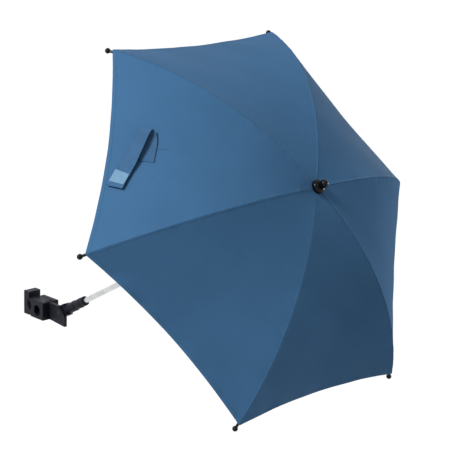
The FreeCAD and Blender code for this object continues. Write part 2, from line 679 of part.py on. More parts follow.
# Closing strap, doubled over on the gore between the last rib and the first
def strap_axes():
    """A placement on the cloth: X back toward the last rib, Y toward the hem, Z out of the cloth."""
    radius = TIP_RADIUS * STRAP_RUN_SHARE
    small = TIP_RADIUS / 1000
    here = cloth_point(radius, STRAP_CROSS_SHARE, 1)
    hemward = cloth_point(radius + small, STRAP_CROSS_SHARE, 1) - here
    crossward = cloth_point(radius, STRAP_CROSS_SHARE - small / radius, 1) - here
    outward = hemward.cross(crossward)
    if outward.z < 0:
        outward = -outward
    x_axis = crossward.normalize()
    z_axis = outward.normalize()
    y_axis = z_axis.cross(x_axis)
    turn = Rotation(x_axis, y_axis, z_axis, "ZXY")
    return Placement(here, turn)


def strap_leg(length, low, splay, dip):
    half = STRAP_WIDTH / 2
    leg = block(0, length, -half, half, low, low + STRAP_THICK)
    fold = Vector(0, 0, low)
    leg.rotate(fold, ALONG_Y, dip)
    leg.rotate(fold, ALONG_Z, splay)
    return leg


def strap_tail_side():
    """1 where the strap's own Y points to the hem, else -1."""
    frame = strap_axes()
    hem_side = frame.multVec(ALONG_Y * STRAP_WIDTH) - frame.Base
    if hem_side.z < 0:
        return 1
    return -1


def closing_strap():
    side = strap_tail_side()
    upper = STRAP_LIFT + 2 * STRAP_FOLD_RADIUS - STRAP_THICK
    rear = strap_leg(STRAP_REAR_LENGTH, STRAP_LIFT, 0, 0)
    tail = strap_leg(STRAP_TAIL_LENGTH, upper, side * STRAP_SPLAY_ANGLE, STRAP_DIP_ANGLE)
    middle = STRAP_LIFT + STRAP_FOLD_RADIUS
    half = STRAP_WIDTH / 2
    start = Vector(0, -half, middle)
    bend = Part.makeCylinder(STRAP_FOLD_RADIUS, STRAP_WIDTH, start, ALONG_Y)
    bend = bend.cut(Part.makeCylinder(STRAP_FOLD_RADIUS - STRAP_THICK, STRAP_WIDTH, start, ALONG_Y))
    bend = bend.cut(block(0, STRAP_WIDTH, -half, half, 0, 2 * middle))
    foot_from = STRAP_REAR_LENGTH - STRAP_FOOT_LENGTH
    foot = block(foot_from, STRAP_REAR_LENGTH, -half, half, -STRAP_FOOT_DEPTH, STRAP_LIFT)
    whole = rear.fuse([tail, bend, foot]).removeSplitter()
    cloth = moved(cloth_panel(), strap_axes().inverse())
    return max(whole.cut(cloth).Solids, key=lambda solid: solid.Volume)


def strap_tab():
    """A pale patch on the free end of the strap."""
    side = strap_tail_side()
    upper = STRAP_LIFT + 2 * STRAP_FOLD_RADIUS - STRAP_THICK
    half = STRAP_WIDTH / 2 - TAB_PATCH_MARGIN
    end = STRAP_TAIL_LENGTH - TAB_PATCH_INSET
    low = upper + STRAP_THICK
    patch = block(end - TAB_PATCH_LENGTH, end, -half, half, low, low + TAB_PATCH_THICK)
    fold = Vector(0, 0, upper)
    patch.rotate(fold, ALONG_Y, STRAP_DIP_ANGLE)
    patch.rotate(fold, ALONG_Z, side * STRAP_SPLAY_ANGLE)
    return patch


# Repeated pieces, one of each for every rib
REPEATED = {
    "rib": rib(),
    "rib_rivet": rib_rivet(),
    "rib_tip": rib_tip(),
    "stretcher": stretcher(),
    "canopy_panel": cloth_panel(),
}
for number in range(RIB_COUNT):
    for name, shape in REPEATED.items():
        save(name + "_" + str(number + 1), moved(shape, at_rib(number)))

# Pieces round the shaft
SHAFT_PIECES = {
    "crown": crown(),
    "crown_wire": crown_wire(),
    "crown_pin": crown_pin(),
    "top_washer": top_washer(),
    "finial": finial(),
    "shaft_tube": shaft_tube(),
    "runner": runner(),
    "runner_catch": runner_catch(),
    "ferrule": ferrule(),
    "ferrule_pin": ferrule_pin(),
}
for name, shape in SHAFT_PIECES.items():
    save(name, on_shaft(shape))

# Pieces of the clamp
CLAMP_PIECES = {
    "clamp_body": clamp_body(),
    "body_pad": pad(1),
    "clamp_jaw": clamp_jaw(),
    "jaw_pad": pad(-1),
    "jaw_spindle": jaw_spindle(),
    "thumb_nut": thumb_nut(),
    "tilt_bolt": tilt_bolt(),
    "tilt_nut": tilt_nut(),
    "friction_washers": friction_washers(),
}
for name, shape in CLAMP_PIECES.items():
    save(name, in_clamp(shape))

# The strap is sewn to the last rib's half of its gore
STRAP_PLACE = at_rib(RIB_COUNT - 1).multiply(strap_axes())
save("closing_strap", moved(closing_strap(), STRAP_PLACE))
save("strap_tab", moved(strap_tab(), STRAP_PLACE))
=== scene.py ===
import math

import bpy
import numpy as np
from mathutils import Matrix, Vector


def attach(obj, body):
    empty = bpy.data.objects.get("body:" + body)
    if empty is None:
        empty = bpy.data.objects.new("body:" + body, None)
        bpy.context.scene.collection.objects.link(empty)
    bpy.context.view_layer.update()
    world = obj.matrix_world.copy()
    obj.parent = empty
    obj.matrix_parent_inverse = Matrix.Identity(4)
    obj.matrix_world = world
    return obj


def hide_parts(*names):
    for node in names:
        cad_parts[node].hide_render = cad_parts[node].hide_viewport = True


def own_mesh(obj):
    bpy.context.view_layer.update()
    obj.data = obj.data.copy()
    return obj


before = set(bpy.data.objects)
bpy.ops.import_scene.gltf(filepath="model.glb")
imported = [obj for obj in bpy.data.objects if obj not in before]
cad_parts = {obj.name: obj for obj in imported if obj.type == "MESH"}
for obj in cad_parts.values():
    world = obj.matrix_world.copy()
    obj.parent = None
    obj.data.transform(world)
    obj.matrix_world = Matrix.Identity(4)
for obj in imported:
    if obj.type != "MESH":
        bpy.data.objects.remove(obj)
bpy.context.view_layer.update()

MM = 0.001
scene = bpy.context.scene

# Canopy form, the same as the solids: straight lines from rib to rib with a small sag
APEX = np.array((35.0, 13.5, 759.622)) * MM
RIB_COUNT = 6
FIRST_RIB_ANGLE = 210.0
RIB_STEP_ANGLE = -60.0
RIB_TURN = 2 * math.pi / RIB_COUNT
TIP_RADIUS = 345.0 * MM
CANOPY_DROP = 144.7 * MM
BEND_START = 23.0 * MM
CLOTH_SAG = 6.5 * MM
CLOTH_HOLE = 5.0 * MM
HEM_BOW_SHARE = 0.0335
CLOTH_THICK = 0.5 * MM
CREASE_ROUND = 1.5 * MM
SEAM_WIDTH = 3.0 * MM
SEAM_HEIGHT = 0.15 * MM
SEAM_SOFT = 0.4 * MM
SEAM_FADE = (12 * MM, 40 * MM)
FOLD_SOFT = 0.8 * MM
RIDGE_HEIGHT = 0.3 * MM
RIDGE_WIDTH = 1.6 * MM
PUCKER_HEIGHT = 0.14 * MM
PUCKER_REACH = 8.0 * MM
# Length in mm, share and shift from rib to rib of each wave of puckers
PUCKER_WAVES = ((4.1, 1.0, 1.0), (2.4, 0.7, 2.3), (6.7, 1.0, 1.7))
HEM_WIDTH = 4.0 * MM
HEM_HEIGHT = 0.15 * MM
HEM_REACH = 10.0 * MM
HEM_PUCKER_SHARE = 0.6
# Turns and shift of each wave of puckers around the hem
HEM_WAVES = ((173, 0.0), (107, 1.0), (259, 2.0))
# Slow swell of the cloth: a long wave with its shifts, and a short one across it
SWELL_HEIGHT = 0.4 * MM
SWELL_LONG = (0.024, 0.029)
SWELL_SHIFT = (0.7, 0.4)
SWELL_SHORT = (0.013, 0.017)
SWELL_SHORT_SHARE = 0.6
SWELL_FADE = (30 * MM, 120 * MM)
NORMAL_STEP = 0.4 * MM
LEAST_RADIUS = 4 * MM
LEAST_LENGTH = 1e-12
UPWARD_BIAS = 1e-9
BEND_RUN = TIP_RADIUS - BEND_START
BEND_RADIUS = BEND_RUN / math.sin(2 * math.atan2(CANOPY_DROP, BEND_RUN))

# Rings of cloth: the start along the rib in mm, and the shares of its width and depth that are left when the
# ribs are closed. The first rings are whole. Farther out a band over the rib is a piece of its own, and the
# cloth beside it is cut apart from it.
RINGS = (
    (5.0, 0.95, 1.0), (26.0, 0.82, 1.0), (42.0, 0.67, 1.0), (60.0, 0.45, 1.0), (78.0, 0.4, 1.0),
    (96.0, 0.355, 1.0), (116.0, 0.315, 1.0), (136.0, 0.28, 1.0), (156.0, 0.245, 1.0), (176.0, 0.207, 1.0),
    (198.0, 0.17, 1.0), (220.0, 0.135, 1.0), (238.0, 0.103, 1.0), (256.0, 0.072, 1.0), (274.0, 0.056, 0.92),
    (292.0, 0.05, 0.79), (310.0, 0.047, 0.66), (328.0, 0.044, 0.53),
)
WHOLE_RINGS = 3
BAND_COLUMNS = 10
STRAP_RING = 15

# Grid of the cloth: lines beside the seam in mm, which draw together near the apex, lines from there to the
# middle of the gore, and rows as shares of the way from the centre to the hem
SEAM_LINES = (0.0, 0.35, 0.7, 1.1, 1.6, 2.3, 3.0, 3.4, 3.8, 4.8, 6.5, 9.5, 14.0)
SEAM_LINES_FULL = 70 * MM
GORE_LINES = 12
BODY_SHARE = 0.962
BODY_ROWS = 108
HEM_ROWS = (0.969, 0.976, 0.982, 0.986, 0.9875, 0.989, 0.991, 0.994, 0.997, 0.999, 1.0)

# Strap, from its sewn foot over the fold to its free end: left edge, right edge, height over the cloth
# Each edge is a distance from the shaft in mm and a share of the way from the last rib to the first
STRAP_STATIONS = (
    (293.8, 0.435, 275.4, 0.425, 0.8),
    (293.5, 0.500, 274.4, 0.496, 0.9),
    (293.0, 0.542, 273.9, 0.542, 1.4),
    (294.6, 0.583, 275.4, 0.581, 2.4),
    (297.1, 0.604, 278.9, 0.608, 6.2),
    (300.7, 0.590, 283.0, 0.590, 10.4),
    (306.3, 0.516, 291.4, 0.477, 9.2),
    (312.4, 0.459, 296.0, 0.418, 6.8),
    (320.3, 0.390, 302.9, 0.353, 4.6),
    (328.7, 0.313, 310.1, 0.282, 4.4),
)
STRAP_THICK = 1.0 * MM
STRAP_STEPS = 12
STRAP_COLUMNS = 25
EDGE_FALL_SHARE = 0.3
EDGE_FALL_WIDTH = 0.8 * MM
# Patch on the strap, from one station to another
TAB_FROM = 8.02
TAB_TO = 8.74
TAB_THICK = 0.7 * MM
TAB_INSET_SHARE = 0.02
TAB_GAP = 0.05 * MM
# Bar of stitches: both ends, as distance from the shaft in mm and share across the gore, and its two rows
TACK_FROM = (273.0, 0.507)
TACK_TO = (257.3, 0.514)
TACK_ROWS = (-0.5, 0.5)
TACK_ROW_GAP = (0.0, 0.0045)
# One stitch: its part of the pitch, the rings along it, and the arch that sinks its ends into the cloth
STITCH_LENGTH = 2.4 * MM
STITCH_RADIUS = 0.3 * MM
STITCH_FROM = 0.08
STITCH_TO = 0.92
STITCH_RINGS = (0.0, 0.12, 0.3, 0.5, 0.7, 0.88, 1.0)
STITCH_CORNERS = 8
STITCH_DIP = 0.12
STITCH_ARCH = 0.76
STITCH_SINK = 0.7

# Colours as a display shows them, from 0 to 255 a channel
CANOPY_BLUE = (71, 114, 155)
STRAP_BLUE = (70, 110, 150)
TAB_BLUE = (124, 164, 196)
THREAD_BLUE = (48, 78, 110)
BLACK_PLASTIC = (25, 28, 36)
GREY_NYLON = (52, 54, 58)
GLOSS_BLACK = (11, 12, 15)
DARK_STEEL = (58, 60, 64)
RIB_STEEL = (178, 180, 184)
FASTENER_STEEL = (190, 191, 193)
TUBE_METAL = (212, 215, 214)
PAD_RUBBER = (25, 26, 28)
WHITE = (1.0, 1.0, 1.0, 1.0)
SHEEN_TINT = (0.95, 0.97, 1.0, 1.0)

# Pitch of the threads, and rows of stitches on the cloth and the tapes
CLOTH_PITCH = 0.9 * MM
SEAM_ROWS = (0.9 * MM, 2.4 * MM)
HEM_ROW = 3.0 * MM
BORDER_ROW = 1.9 * MM
ROW_HALF = 0.3 * MM
ROW_PITCH = 3.0 * MM
BORDER_PITCH = 2.6 * MM
STRAP_PITCHES = (0.8 * MM, 1.1 * MM)
TAB_PITCHES = (0.9 * MM, 1.4 * MM)
# Stretch of the noise in the materials: threads, flow marks, scuffs and brushed lines
WARP_STRETCH = (1800.0, 60.0, 1.0)
WEFT_STRETCH = (60.0, 1800.0, 1.0)
FLOW_STRETCH = (60.0, 60.0, 18.0)
SCUFF_STRETCH = (900.0, 120.0, 120.0)
TURNED_BRUSH = (700.0, 700.0, 90.0)
EVEN_BRUSH = (300.0, 300.0, 300.0)
TUBE_BRUSH = (900.0, 900.0, 12.0)
PLASTIC_EDGE = 0.7 * MM
METAL_EDGE = 0.3 * MM
# Lines of painted shade on the cloth, as place and half width: the crease at the seam and the step of the hem
CREASE_SHADE_LINE = (-0.4 * MM, 0.7 * MM)
HEM_STEP_SHADE_LINE = (4.3 * MM, 0.5 * MM)
HEM_CLEAR = (4 * MM, 6 * MM)
CLOTH_WORN = 1.8 * MM
TAPE_DARK_EDGE = 0.7 * MM
# Heights of the fine relief
THREAD_RELIEF = 0.05 * MM
SLUB_RELIEF = 0.08 * MM
STITCH_RELIEF = 0.25 * MM
TAPE_RELIEF = 0.08 * MM
TAPE_RIB_RELIEF = 0.12 * MM
TWIST_RELIEF = 0.05 * MM
BRUSH_RELIEF = 0.02 * MM
RUBBER_RELIEF = 0.08 * MM
PLASTIC_GRAIN = 0.05 * MM
NYLON_GRAIN = 0.04 * MM
GLOSS_GRAIN = 0.004 * MM
# Scales of the noise, and the ranges of it that are spread over a whole mix
CLOTH_CLOUDS = 9.0
CLOTH_FRAY = 150.0
TAPE_CLOUDS = 60.0
TAPE_FUZZ = 2500.0
THREAD_TWIST = 900.0
PLASTIC_FINE = 2200.0
METAL_STAINS = 45.0
RUBBER_FINE = 1400.0
RUBBER_DUST = 120.0
MOST_NOISE = (0.3, 0.7)
WIDE_NOISE = (0.25, 0.75)

# Camera and light
CAMERA_AT = (0.3401, -1.7387, 2.4323)
CAMERA_LOOK = (-0.12154, 0.67436, -0.72833)
CAMERA_UP = (-0.93929, 0.15908, 0.30403)
LENS = 129.41
SENSOR_WIDTH = 36.0
CLIP_END = 30.0
FLOOR_HEIGHT = -0.85
FLOOR_HALF = 6.0
FLOOR_COLOUR = (0.86, 0.86, 0.86, 1.0)
FLOOR_GLOW = 0.55
WORLD_STRENGTH = 0.28
# Name, strength and direction of each lamp
LAMPS = (
    ("key", 3.0, (-0.62, -0.75, 0.21)),
    ("fill", 1.6, (0.15, 0.97, 0.16)),
)
LAMP_SPREAD = math.radians(22)


# Cloth surface in a rib's own axes: X out along the rib, Y across it, Z up
def rib_angle(index):
    return math.radians(FIRST_RIB_ANGLE + index * RIB_STEP_ANGLE)


def to_frame(points, index):
    """From a rib's own axes to the shared frame."""
    angle = rib_angle(index)
    cosine, sine = math.cos(angle), math.sin(angle)
    x, y, z = points[..., 0], points[..., 1], points[..., 2]
    return np.stack((x * cosine - y * sine, x * sine + y * cosine, z), -1) + APEX


def rib_drop(radius):
    run = np.maximum(radius - BEND_START, 0.0)
    return BEND_RADIUS - np.sqrt(BEND_RADIUS ** 2 - run ** 2)


def hem_radius(cross):
    share = np.abs(cross)
    return TIP_RADIUS * (1 - HEM_BOW_SHARE * 4 * share * (1 - share))


def smooth(value, low, high):
    share = np.clip((value - low) / (high - low), 0.0, 1.0)
    return share * share * (3 - 2 * share)


def bare_cloth(radius, cross):
    """The cloth with no seams. cross runs from -0.5 to 0.5, the middle lines of the gores beside the rib."""
    share = np.abs(cross)
    reach = share * radius
    rounded = np.sqrt(reach ** 2 + CREASE_ROUND ** 2) - CREASE_ROUND * (1 - 4 * share ** 2)
    x = radius - rounded / 2
    y = np.sign(cross) * math.sin(RIB_TURN) * reach
    z = -rib_drop(radius) - CLOTH_SAG * 4 * share * (1 - share) * radius / TIP_RADIUS
    return np.stack((x, y, z), -1)


def across_both(place, radius, cross):
    """Unit normals, pointing up, of a surface given by place(radius, cross)."""
    turn = NORMAL_STEP / np.maximum(radius, LEAST_RADIUS)
    along = place(radius + NORMAL_STEP, cross) - place(radius - NORMAL_STEP, cross)
    over = place(radius, cross + turn) - place(radius, cross - turn)
    normal = np.cross(along, over)
    normal /= np.maximum(np.linalg.norm(normal, axis=-1, keepdims=True), LEAST_LENGTH)
    return normal * np.sign(normal[..., 2:3] + UPWARD_BIAS)


def relief(radius, cross, index):
    """Height of the sewn seam, the hem, their puckers and a slow swell over the bare cloth."""
    seam = cross * radius
    fade = smooth(radius, *SEAM_FADE)
    waves = [share * np.sin(radius / (long * MM) + shift * index) for long, share, shift in PUCKER_WAVES]
    wave = sum(waves)
    height = RIDGE_HEIGHT * np.exp(-(seam / RIDGE_WIDTH) ** 2) * fade
    allowance = smooth(-seam, -SEAM_WIDTH - FOLD_SOFT, -SEAM_WIDTH)
    height += SEAM_HEIGHT * smooth(seam, -SEAM_SOFT, SEAM_SOFT) * allowance
    height += PUCKER_HEIGHT * wave * np.exp(-(seam / PUCKER_REACH) ** 2) * fade
    edge = hem_radius(cross) - radius
    bearing = np.arctan2(math.sin(RIB_TURN) * seam, radius * (1 - np.abs(cross) / 2)) + rib_angle(index)
    tuck = sum(np.sin(turns * bearing + shift) for turns, shift in HEM_WAVES)
    height += HEM_HEIGHT * smooth(-edge, -HEM_WIDTH - FOLD_SOFT, -HEM_WIDTH)
    height += HEM_PUCKER_SHARE * PUCKER_HEIGHT * tuck * np.exp(-(edge / HEM_REACH) ** 2)
    spot = to_frame(bare_cloth(radius, cross), index)
    x, y = spot[..., 0], spot[..., 1]
    swell = np.sin(x / SWELL_LONG[0] + SWELL_SHIFT[0]) * np.sin(y / SWELL_LONG[1] + SWELL_SHIFT[1])
    swell += SWELL_SHORT_SHARE * np.sin(x / SWELL_SHORT[0] - y / SWELL_SHORT[1])
    return height + SWELL_HEIGHT * swell * smooth(radius, *SWELL_FADE)


def sewn_cloth(radius, cross, index):
    bare = bare_cloth(radius, cross)
    normal = across_both(bare_cloth, radius, cross)
    return bare + normal * relief(radius, cross, index)[..., None]


# Meshes
def mesh_object(name, points, faces):
    mesh = bpy.data.meshes.new(name)
    mesh.from_pydata([tuple(p) for p in points], [], faces)
    mesh.update()
    mesh.shade_smooth()
    made = bpy.data.objects.new(name, mesh)
    scene.collection.objects.link(made)
    return made


def shell_faces(rows, columns):
    """Faces of a closed thin sheet: a top grid, a bottom grid and the rim between them."""
    count = rows * columns
    top = []
    for r in range(rows - 1):
        for c in range(columns - 1):
            a = r * columns + c
            top.append((a, a + columns, a + columns + 1, a + 1))
    bottom = [tuple(count + k for k in reversed(face)) for face in top]
    ring = list(range(columns))
    ring += [r * columns + columns - 1 for r in range(1, rows)]
    ring += [(rows - 1) * columns + c for c in range(columns - 2, -1, -1)]
    ring += [r * columns for r in range(rows - 2, 0, -1)]
    rim = []
    for k, a in enumerate(ring):
        b = ring[(k + 1) % len(ring)]
        rim.append((a, b, b + count, a + count))
    return top, bottom, rim


def sharpen_rim(mesh, rim):
    """Keeps the shading of the rim apart from that of the faces."""
    wanted = set()
    for a, b, c, d in rim:
        wanted.add((min(a, b), max(a, b)))
        wanted.add((min(c, d), max(c, d)))
    for edge in mesh.edges:
        if tuple(sorted(edge.vertices)) in wanted:
            edge.use_edge_sharp = True


def sheet_object(name, top_points, thickness, normals, weave, marks):
    """A closed thin sheet under a grid of points. weave holds two lengths a point, given once for the whole
    grid or once for each half of it, and marks are named lengths a point."""
    rows, columns = top_points.shape[:2]
    count = rows * columns
    bottom_points = top_points - normals * thickness
    points = np.concatenate((top_points.reshape(-1, 3), bottom_points.reshape(-1, 3)))
    top, bottom, rim = shell_faces(rows, columns)
    first = top_points[1, 0] - top_points[0, 0]
    second = top_points[0, 1] - top_points[0, 0]
    if np.dot(np.cross(first, second), normals[0, 0]) < 0:
        top = [tuple(reversed(face)) for face in top]
        bottom = [tuple(reversed(face)) for face in bottom]
    else:
        rim = [tuple(reversed(face)) for face in rim]
    made = mesh_object(name, points, top + bottom + rim)
    mesh = made.data
    sharpen_rim(mesh, rim)
    flat_normals = normals.reshape(-1, 3)
    corner_normals = []
    layer = mesh.uv_layers.new(name="weave")
    middle = (columns - 1) / 2
    sides = [np.asarray(side).reshape(-1, 2) for side in weave]
    for face in mesh.polygons:
        kind = 0 if face.index < len(top) else (1 if face.index < 2 * len(top) else 2)
        held = [mesh.loops[k].vertex_index for k in face.loop_indices]
        mean = sum((v % count) % columns for v in held) / len(held)
        side = sides[0] if mean < middle else sides[-1]
        for corner, v in zip(face.loop_indices, held):
            layer.data[corner].uv = side[v % count]
            if kind == 0:
                corner_normals.append(tuple(flat_normals[v % count]))
            elif kind == 1:
                corner_normals.append(tuple(-flat_normals[v % count]))
            else:
                corner_normals.append(tuple(face.normal))
    mesh.normals_split_custom_set(corner_normals)
    for label, values in marks.items():
        attribute = mesh.attributes.new(label, "FLOAT", "POINT")
        flat = np.asarray(values, dtype=np.float32).reshape(-1)
        attribute.data.foreach_set("value", np.concatenate((flat, flat)))
    return made


def longest_line(points, axis):
    """The longest line of a grid of points along one of its axes, measured over the surface."""
    steps = np.linalg.norm(np.diff(points, axis=axis), axis=-1)
    return float(steps.sum(axis).max())


# Node materials
def add(tree, kind, inputs=None, **settings):
    node = tree.nodes.new(kind)
    for key, value in settings.items():
        setattr(node, key, value)
    for key, value in (inputs or {}).items():
        if isinstance(value, bpy.types.NodeSocket):
            tree.links.new(value, node.inputs[key])
        else:
            node.inputs[key].default_value = value
    return node


def calc(tree, operation, first, second=0.0):
    return add(tree, "ShaderNodeMath", {0: first, 1: second}, operation=operation).outputs[0]


def spread(tree, value, low, high, to_low, to_high):
    """A smooth step of value from one range to another."""
    inputs = {0: value, 1: low, 2: high, 3: to_low, 4: to_high}
    return add(tree, "ShaderNodeMapRange", inputs, interpolation_type="SMOOTHSTEP").outputs[0]


def mixed(tree, share, first, second):
    node = add(tree, "ShaderNodeMix", {0: share, 6: first, 7: second}, data_type="RGBA")
    return node.outputs[2]


def noise(tree, place, scale, detail=3.0, rough=0.5):
    inputs = {"Vector": place, "Scale": scale, "Detail": detail, "Roughness": rough}
    return add(tree, "ShaderNodeTexNoise", inputs).outputs["Fac"]


def stretched(tree, place, scale):
    return add(tree, "ShaderNodeMapping", {"Vector": place, "Scale": scale}).outputs[0]


def bump(tree, height, distance, strength=1.0, normal=None):
    inputs = {"Height": height, "Distance": distance, "Strength": strength}
    if normal is not None:
        inputs["Normal"] = normal
    return add(tree, "ShaderNodeBump", inputs).outputs[0]


def linear(red, green, blue):
    """A colour from 0 to 255 a channel, as a display shows it, in linear light."""
    values = []
    for channel in (red, green, blue):
        c = channel / 255
        values.append(c / 12.92 if c <= 0.04045 else ((c + 0.055) / 1.055) ** 2.4)
    return (*values, 1.0)


def connect(tree, shader, colour, roughness, normal):
    """Links what every material here drives."""
    for name, socket in (("Base Color", colour), ("Roughness", roughness), ("Normal", normal)):
        tree.links.new(socket, shader.inputs[name])


def shaded(colour, share):
    return (*(c * share for c in colour[:3]), 1.0)


def new_material(name):
    made = bpy.data.materials.new(name)
    made.use_nodes = True
    tree = made.node_tree
    shader = tree.nodes["Principled BSDF"]
    return made, tree, shader


def object_place(tree):
    return add(tree, "ShaderNodeTexCoord").outputs["Object"]


def mark(tree, name):
    return add(tree, "ShaderNodeAttribute", attribute_name=name).outputs["Fac"]


def weave_height(tree, place, pitch):
    """Threads over and under each other."""
    parts = add(tree, "ShaderNodeSeparateXYZ", {0: place})
    turns = 2 * math.pi / pitch
    first = calc(tree, "SINE", calc(tree, "MULTIPLY", parts.outputs[0], turns))
    second = calc(tree, "SINE", calc(tree, "MULTIPLY", parts.outputs[1], turns))
    return calc(tree, "MULTIPLY", first, second), parts


def dashes(tree, along, pitch):
    wave = calc(tree, "SINE", calc(tree, "MULTIPLY", along, 2 * math.pi / pitch))
    return spread(tree, wave, -0.55, -0.25, 0.0, 1.0)


def line_at(tree, value, place, half):
    away = calc(tree, "ABSOLUTE", calc(tree, "SUBTRACT", value, place))
    return spread(tree, away, 1.5 * half, 0.8 * half, 0.0, 1.0)


def canopy_material():
    base = linear(*CANOPY_BLUE)
    made, tree, shader = new_material("canopy_cloth")
    place = object_place(tree)
    weave = add(tree, "ShaderNodeUVMap", uv_map="weave").outputs[0]
    height, parts = weave_height(tree, weave, CLOTH_PITCH)
    warp = noise(tree, stretched(tree, weave, WARP_STRETCH), 1.0, 2.0)
    weft = noise(tree, stretched(tree, weave, WEFT_STRETCH), 1.0, 2.0)
    slubs = calc(tree, "MULTIPLY", calc(tree, "ADD", warp, weft), 0.5)
    cloudy = noise(tree, place, CLOTH_CLOUDS, 4.0)
    colour = mixed(tree, spread(tree, cloudy, *MOST_NOISE, 0.0, 1.0), shaded(base, 0.95), shaded(base, 1.05))
    colour = mixed(tree, spread(tree, slubs, 0.35, 0.65, 0.0, 0.5), colour, shaded(base, 0.86))
    seam, hem, run = mark(tree, "seam"), mark(tree, "hem"), mark(tree, "run")
    rows = calc(tree, "MAXIMUM", *(line_at(tree, seam, row, ROW_HALF) for row in SEAM_ROWS))
    inside_hem = spread(tree, hem, *HEM_CLEAR, 0.0, 1.0)
    dashed = calc(tree, "MULTIPLY", rows, dashes(tree, run, ROW_PITCH))
    seam_stitches = calc(tree, "MULTIPLY", dashed, inside_hem)
    hem_row = line_at(tree, hem, HEM_ROW, ROW_HALF)
    hem_stitches = calc(tree, "MULTIPLY", hem_row, dashes(tree, parts.outputs[0], ROW_PITCH))
    stitches = calc(tree, "MAXIMUM", seam_stitches, hem_stitches)
    # Painted shade: the cloth is darkened along the crease at the seam and along the step of the hem
    crease_shade = calc(tree, "MULTIPLY", line_at(tree, seam, *CREASE_SHADE_LINE), 0.4)
    step = calc(tree, "MULTIPLY", line_at(tree, hem, *HEM_STEP_SHADE_LINE), 0.12)
    colour = mixed(tree, calc(tree, "MAXIMUM", crease_shade, step), colour, shaded(base, 0.45))
    colour = mixed(tree, calc(tree, "MULTIPLY", stitches, 0.7), colour, shaded(base, 1.2))
    edge = spread(tree, hem, 0.0, CLOTH_WORN, 0.5, 0.0)
    edge_tone = calc(tree, "MULTIPLY", edge, noise(tree, place, CLOTH_FRAY))
    colour = mixed(tree, edge_tone, colour, shaded(base, 1.35))
    normal = bump(tree, height, THREAD_RELIEF, 0.5)
    normal = bump(tree, slubs, SLUB_RELIEF, 0.4, normal)
    normal = bump(tree, stitches, STITCH_RELIEF, 0.8, normal)
    connect(tree, shader, colour, spread(tree, cloudy, *WIDE_NOISE, 0.62, 0.74), normal)
    shader.inputs["Specular IOR Level"].default_value = 0.0
    shader.inputs["Sheen Weight"].default_value = 0.16
    shader.inputs["Sheen Roughness"].default_value = 0.35
    shader.inputs["Sheen Tint"].default_value = SHEEN_TINT
    return made


def webbing_material(name, base, pitch, rib_pitch):
    """Woven tape: cross ribs with painted shade between them, threads along its length and a stitched border.
    """
    made, tree, shader = new_material(name)
    place = object_place(tree)
    weave = add(tree, "ShaderNodeUVMap", uv_map="weave").outputs[0]
    height, parts = weave_height(tree, weave, pitch)
    ribs = calc(tree, "SINE", calc(tree, "MULTIPLY", parts.outputs[1], 2 * math.pi / rib_pitch))
    cloudy = noise(tree, place, TAPE_CLOUDS, 4.0)
    fuzz = noise(tree, place, TAPE_FUZZ, 3.0)
    colour = mixed(tree, spread(tree, cloudy, *MOST_NOISE, 0.0, 1.0), shaded(base, 0.92), shaded(base, 1.06))
    # Painted shade: the tape is darker in the hollows between the cross ribs
    colour = mixed(tree, spread(tree, ribs, -1.0, 0.2, 0.35, 0.0), colour, shaded(base, 0.7))
    colour = mixed(tree, spread(tree, fuzz, 0.35, 0.7, 0.0, 0.3), colour, shaded(base, 1.2))
    border = mark(tree, "border")
    border_row = line_at(tree, border, BORDER_ROW, ROW_HALF)
    row = calc(tree, "MULTIPLY", border_row, dashes(tree, parts.outputs[1], BORDER_PITCH))
    colour = mixed(tree, calc(tree, "MULTIPLY", row, 0.6), colour, shaded(base, 1.3))
    # The tape is darker towards its edges and ends
    edge_tone = spread(tree, border, 0.0, TAPE_DARK_EDGE, 0.35, 0.0)
    colour = mixed(tree, edge_tone, colour, shaded(base, 0.6))
    normal = bump(tree, height, TAPE_RELIEF, 0.5)
    normal = bump(tree, ribs, TAPE_RIB_RELIEF, 0.5, normal)
    normal = bump(tree, row, STITCH_RELIEF, 0.7, normal)
    connect(tree, shader, colour, spread(tree, fuzz, 0.2, 0.8, 0.68, 0.86), normal)
    shader.inputs["Specular IOR Level"].default_value = 0.08
    shader.inputs["Sheen Weight"].default_value = 0.06
    return made


def thread_material(name, base):
    made, tree, shader = new_material(name)
    place = object_place(tree)
    wave = add(tree, "ShaderNodeTexWave", {"Vector": place, "Scale": THREAD_TWIST, "Distortion": 2.0})
    twist = wave.outputs["Fac"]
    # Painted light and shade: the thread is lighter on the ridges of its twist and darker in its grooves
    colour = mixed(tree, twist, shaded(base, 0.75), shaded(base, 1.15))
    roughness = spread(tree, twist, 0.0, 1.0, 0.55, 0.7)
    connect(tree, shader, colour, roughness, bump(tree, twist, TWIST_RELIEF, 0.6))
    return made


def edge_wear(tree, radius):
    """From 0 on flat faces to 1 on sharp edges, and the rounded normal."""
    rounded = add(tree, "ShaderNodeBevel", {"Radius": radius}, samples=6).outputs[0]
    true_normal = add(tree, "ShaderNodeNewGeometry").outputs["Normal"]
    facing = add(tree, "ShaderNodeVectorMath", {0: rounded, 1: true_normal}, operation="DOT_PRODUCT")
    return spread(tree, facing.outputs["Value"], 0.99, 0.8, 0.0, 1.0), rounded


